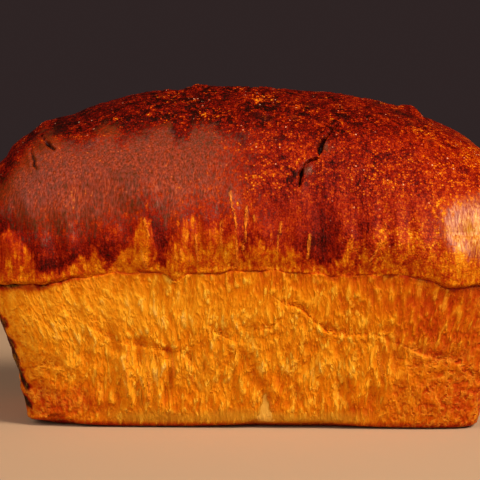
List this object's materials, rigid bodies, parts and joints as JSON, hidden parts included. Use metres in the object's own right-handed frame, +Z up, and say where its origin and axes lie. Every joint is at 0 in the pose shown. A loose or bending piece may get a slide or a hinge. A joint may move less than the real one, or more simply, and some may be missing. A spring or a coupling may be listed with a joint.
{
  "type": "brioche bread",
  "caption": "Tall brioche loaf from a flared tin: golden wrinkled sides, a creased seam at the rim and a domed, glazed dark crown with split crust; it rests on its flat base.",
  "frame": {"origin": "on the resting plane, under the middle of the loaf's bounding box", "axes": "+X along the loaf's long side, +Z up, and the side with the main split of the crown faces -Y"},
  "size_m": [0.2366, 0.125, 0.1424],
  "materials": {
    "crust": "egg-glazed bread crust: golden and satin where the tin held it, glossy red-brown to mahogany on the crown"
  },
  "bodies": {
    "root": {"loaf": "crust"}
  },
  "joints": []
}
